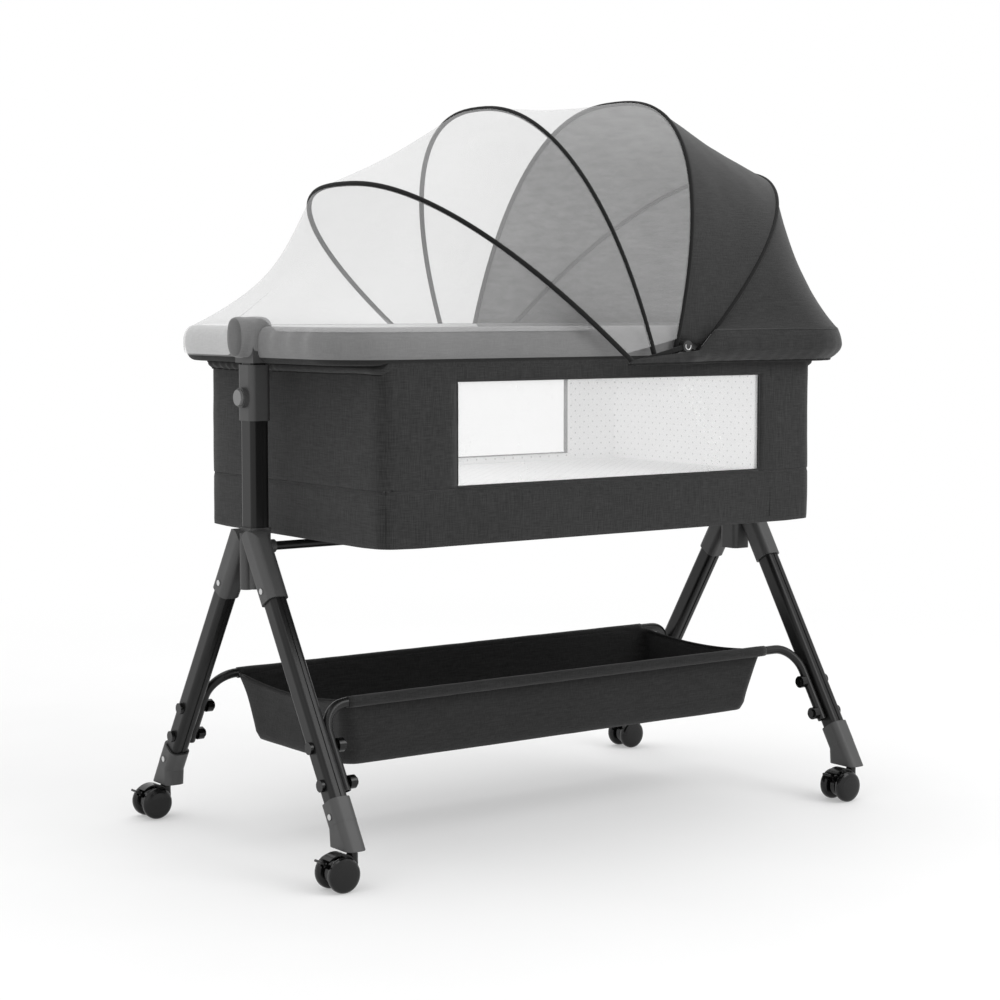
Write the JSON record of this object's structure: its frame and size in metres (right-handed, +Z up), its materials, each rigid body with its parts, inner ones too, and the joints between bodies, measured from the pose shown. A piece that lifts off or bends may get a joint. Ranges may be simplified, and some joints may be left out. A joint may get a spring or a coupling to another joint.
{
  "type": "bassinet on stand",
  "caption": "Wheeled bedside bassinet: padded-rail fabric bed with mesh windows on telescopic uprights and A-legs, folding hooped canopy and net, hung storage basket.",
  "frame": {"origin": "on the floor, midway between the four caster stems and between the two legs of each end", "axes": "+X points to the head end (under the dark canopy), -Y to the front long side, +Z up"},
  "size_m": [0.9652, 0.5514, 1.0342],
  "materials": {
    "grey_plastic": "moulded, satin, fine grain",
    "gunmetal_tube": "powder-coated, satin",
    "black_plastic": "moulded, semi-gloss",
    "steel": "plain zinc-plated",
    "black_tube": "powder-coated, semi-gloss",
    "basket_fabric": "woven polyester, black heather",
    "charcoal_fabric": "linen-look weave, charcoal heather",
    "rail_fabric": "soft woven cover, mid grey",
    "net": "fine mosquito net, white",
    "window_mesh": "open mesh, white",
    "liner_fabric": "soft knit with small printed dots, off-white",
    "mattress_fabric": "padded knit with small printed dots, off-white",
    "piping": "tight binding over a steel wire, black",
    "zip": "coil zip on woven tape",
    "board": "thin fibreboard, unfinished"
  },
  "bodies": {
    "stand": {"hub_left": "grey_plastic", "hub_right": "grey_plastic", "leg_front_left": "gunmetal_tube", "leg_back_left": "gunmetal_tube", "leg_front_right": "gunmetal_tube", "leg_back_right": "gunmetal_tube", "foot_socket_front_left": "grey_plastic", "foot_socket_back_left": "grey_plastic", "foot_socket_front_right": "grey_plastic", "foot_socket_back_right": "grey_plastic", "leg_screws": "steel", "crossbar": "gunmetal_tube", "upright_left": "gunmetal_tube", "upright_right": "gunmetal_tube", "lock_collar_left": "grey_plastic", "lock_collar_right": "grey_plastic", "lock_springs": "steel", "basket_rail_front": "black_tube", "basket_rail_back": "black_tube", "basket_bolts": "black_plastic", "basket_knobs": "black_plastic", "storage_basket": "basket_fabric"},
    "bed": {"slide_tube_left": "steel", "slide_tube_right": "steel", "end_bracket_left": "grey_plastic", "end_bracket_right": "grey_plastic", "rim_tube": "steel", "rail_cover": "rail_fabric", "rim_zip": "zip", "bed_shell": "charcoal_fabric", "mesh_window_front": "window_mesh", "mesh_window_back": "window_mesh", "inner_liner": "liner_fabric", "floor_board": "board", "mattress": "mattress_fabric", "canopy_pivots": "steel", "canopy_hem": "charcoal_fabric", "canopy_back_panel": "charcoal_fabric"},
    "canopy_rear": {"canopy_rear_hoop": "piping", "canopy_top_panel": "charcoal_fabric"},
    "canopy_front": {"canopy_front_hoop": "piping", "net_rear_panel": "net"},
    "net_middle": {"net_middle_hoop": "piping", "net_middle_panel": "net"},
    "net_front": {"net_front_hoop": "piping", "net_front_panel": "net"},
    "button_left": {"height_button_left": "black_plastic"},
    "button_right": {"height_button_right": "black_plastic"},
    "caster_front_left": {"caster_housing_front_left": "black_plastic"},
    "wheels_front_left": {"caster_wheels_front_left": "black_plastic"},
    "brake_front_left": {"caster_brake_front_left": "black_plastic"},
    "caster_back_left": {"caster_housing_back_left": "black_plastic"},
    "wheels_back_left": {"caster_wheels_back_left": "black_plastic"},
    "brake_back_left": {"caster_brake_back_left": "black_plastic"},
    "caster_front_right": {"caster_housing_front_right": "black_plastic"},
    "wheels_front_right": {"caster_wheels_front_right": "black_plastic"},
    "brake_front_right": {"caster_brake_front_right": "black_plastic"},
    "caster_back_right": {"caster_housing_back_right": "black_plastic"},
    "wheels_back_right": {"caster_wheels_back_right": "black_plastic"},
    "brake_back_right": {"caster_brake_back_right": "black_plastic"}
  },
  "joints": [
    {"name": "swivel_front_left", "type": "hinge", "parent": "stand", "child": "caster_front_left", "pos_m": [-0.44, -0.252, 0.04], "axis": [0, 0, 1], "continuous": true},
    {"name": "roll_front_left", "type": "hinge", "parent": "caster_front_left", "child": "wheels_front_left", "pos_m": [-0.462, -0.252, 0.0225], "axis": [0, 1, 0], "continuous": true},
    {"name": "brake_front_left", "type": "hinge", "parent": "caster_front_left", "child": "brake_front_left", "pos_m": [-0.47236, -0.252, 0.02949], "axis": [0, -1, 0], "range_deg": [0, 16]},
    {"name": "swivel_back_left", "type": "hinge", "parent": "stand", "child": "caster_back_left", "pos_m": [-0.44, 0.252, 0.04], "axis": [0, 0, 1], "continuous": true},
    {"name": "roll_back_left", "type": "hinge", "parent": "caster_back_left", "child": "wheels_back_left", "pos_m": [-0.462, 0.252, 0.0225], "axis": [0, 1, 0], "continuous": true},
    {"name": "brake_back_left", "type": "hinge", "parent": "caster_back_left", "child": "brake_back_left", "pos_m": [-0.47236, 0.252, 0.02949], "axis": [0, -1, 0], "range_deg": [0, 16]},
    {"name": "swivel_front_right", "type": "hinge", "parent": "stand", "child": "caster_front_right", "pos_m": [0.44, -0.252, 0.04], "axis": [0, 0, 1], "continuous": true},
    {"name": "roll_front_right", "type": "hinge", "parent": "caster_front_right", "child": "wheels_front_right", "pos_m": [0.418, -0.252, 0.0225], "axis": [0, 1, 0], "continuous": true},
    {"name": "brake_front_right", "type": "hinge", "parent": "caster_front_right", "child": "brake_front_right", "pos_m": [0.40764, -0.252, 0.02949], "axis": [0, -1, 0], "range_deg": [0, 16]},
    {"name": "swivel_back_right", "type": "hinge", "parent": "stand", "child": "caster_back_right", "pos_m": [0.44, 0.252, 0.04], "axis": [0, 0, 1], "continuous": true},
    {"name": "roll_back_right", "type": "hinge", "parent": "caster_back_right", "child": "wheels_back_right", "pos_m": [0.418, 0.252, 0.0225], "axis": [0, 1, 0], "continuous": true},
    {"name": "brake_back_right", "type": "hinge", "parent": "caster_back_right", "child": "brake_back_right", "pos_m": [0.40764, 0.252, 0.02949], "axis": [0, -1, 0], "range_deg": [0, 16]},
    {"name": "press_left", "type": "slide", "parent": "stand", "child": "button_left", "axis": [1, 0, 0], "range_m": [0, 0.005], "stiffness_N_per_m": 600, "springref_m": -0.004, "deforming": ["lock_springs"]},
    {"name": "press_right", "type": "slide", "parent": "stand", "child": "button_right", "axis": [-1, 0, 0], "range_m": [0, 0.005], "stiffness_N_per_m": 600, "springref_m": -0.004, "deforming": ["lock_springs"]},
    {"name": "bed_height", "type": "slide", "parent": "stand", "child": "bed", "axis": [0, 0, 1], "range_m": [0, 0.16]},
    {"name": "canopy_fold", "type": "hinge", "parent": "bed", "child": "canopy_rear", "pos_m": [0.109, 0, 0.678], "axis": [0, 1, 0], "range_deg": [0, 12], "deforming": ["canopy_back_panel"]},
    {"name": "canopy_front_fold", "type": "hinge", "parent": "canopy_rear", "child": "canopy_front", "pos_m": [0.109, 0, 0.678], "axis": [0, 1, 0], "range_deg": [0, 22], "deforming": ["canopy_top_panel"]},
    {"name": "net_fold", "type": "hinge", "parent": "canopy_front", "child": "net_middle", "pos_m": [0.109, 0, 0.678], "axis": [0, 1, 0], "range_deg": [0, 28], "deforming": ["net_rear_panel"]},
    {"name": "net_front_fold", "type": "hinge", "parent": "net_middle", "child": "net_front", "pos_m": [0.109, 0, 0.678], "axis": [0, 1, 0], "range_deg": [0, 27], "deforming": ["net_middle_panel", "net_front_panel"]}
  ],
  "couplings": [
    {"joint": "canopy_front_fold", "follows": "canopy_fold", "ratio": 1.8333},
    {"joint": "net_front_fold", "follows": "net_fold", "ratio": 0.9642}
  ]
}
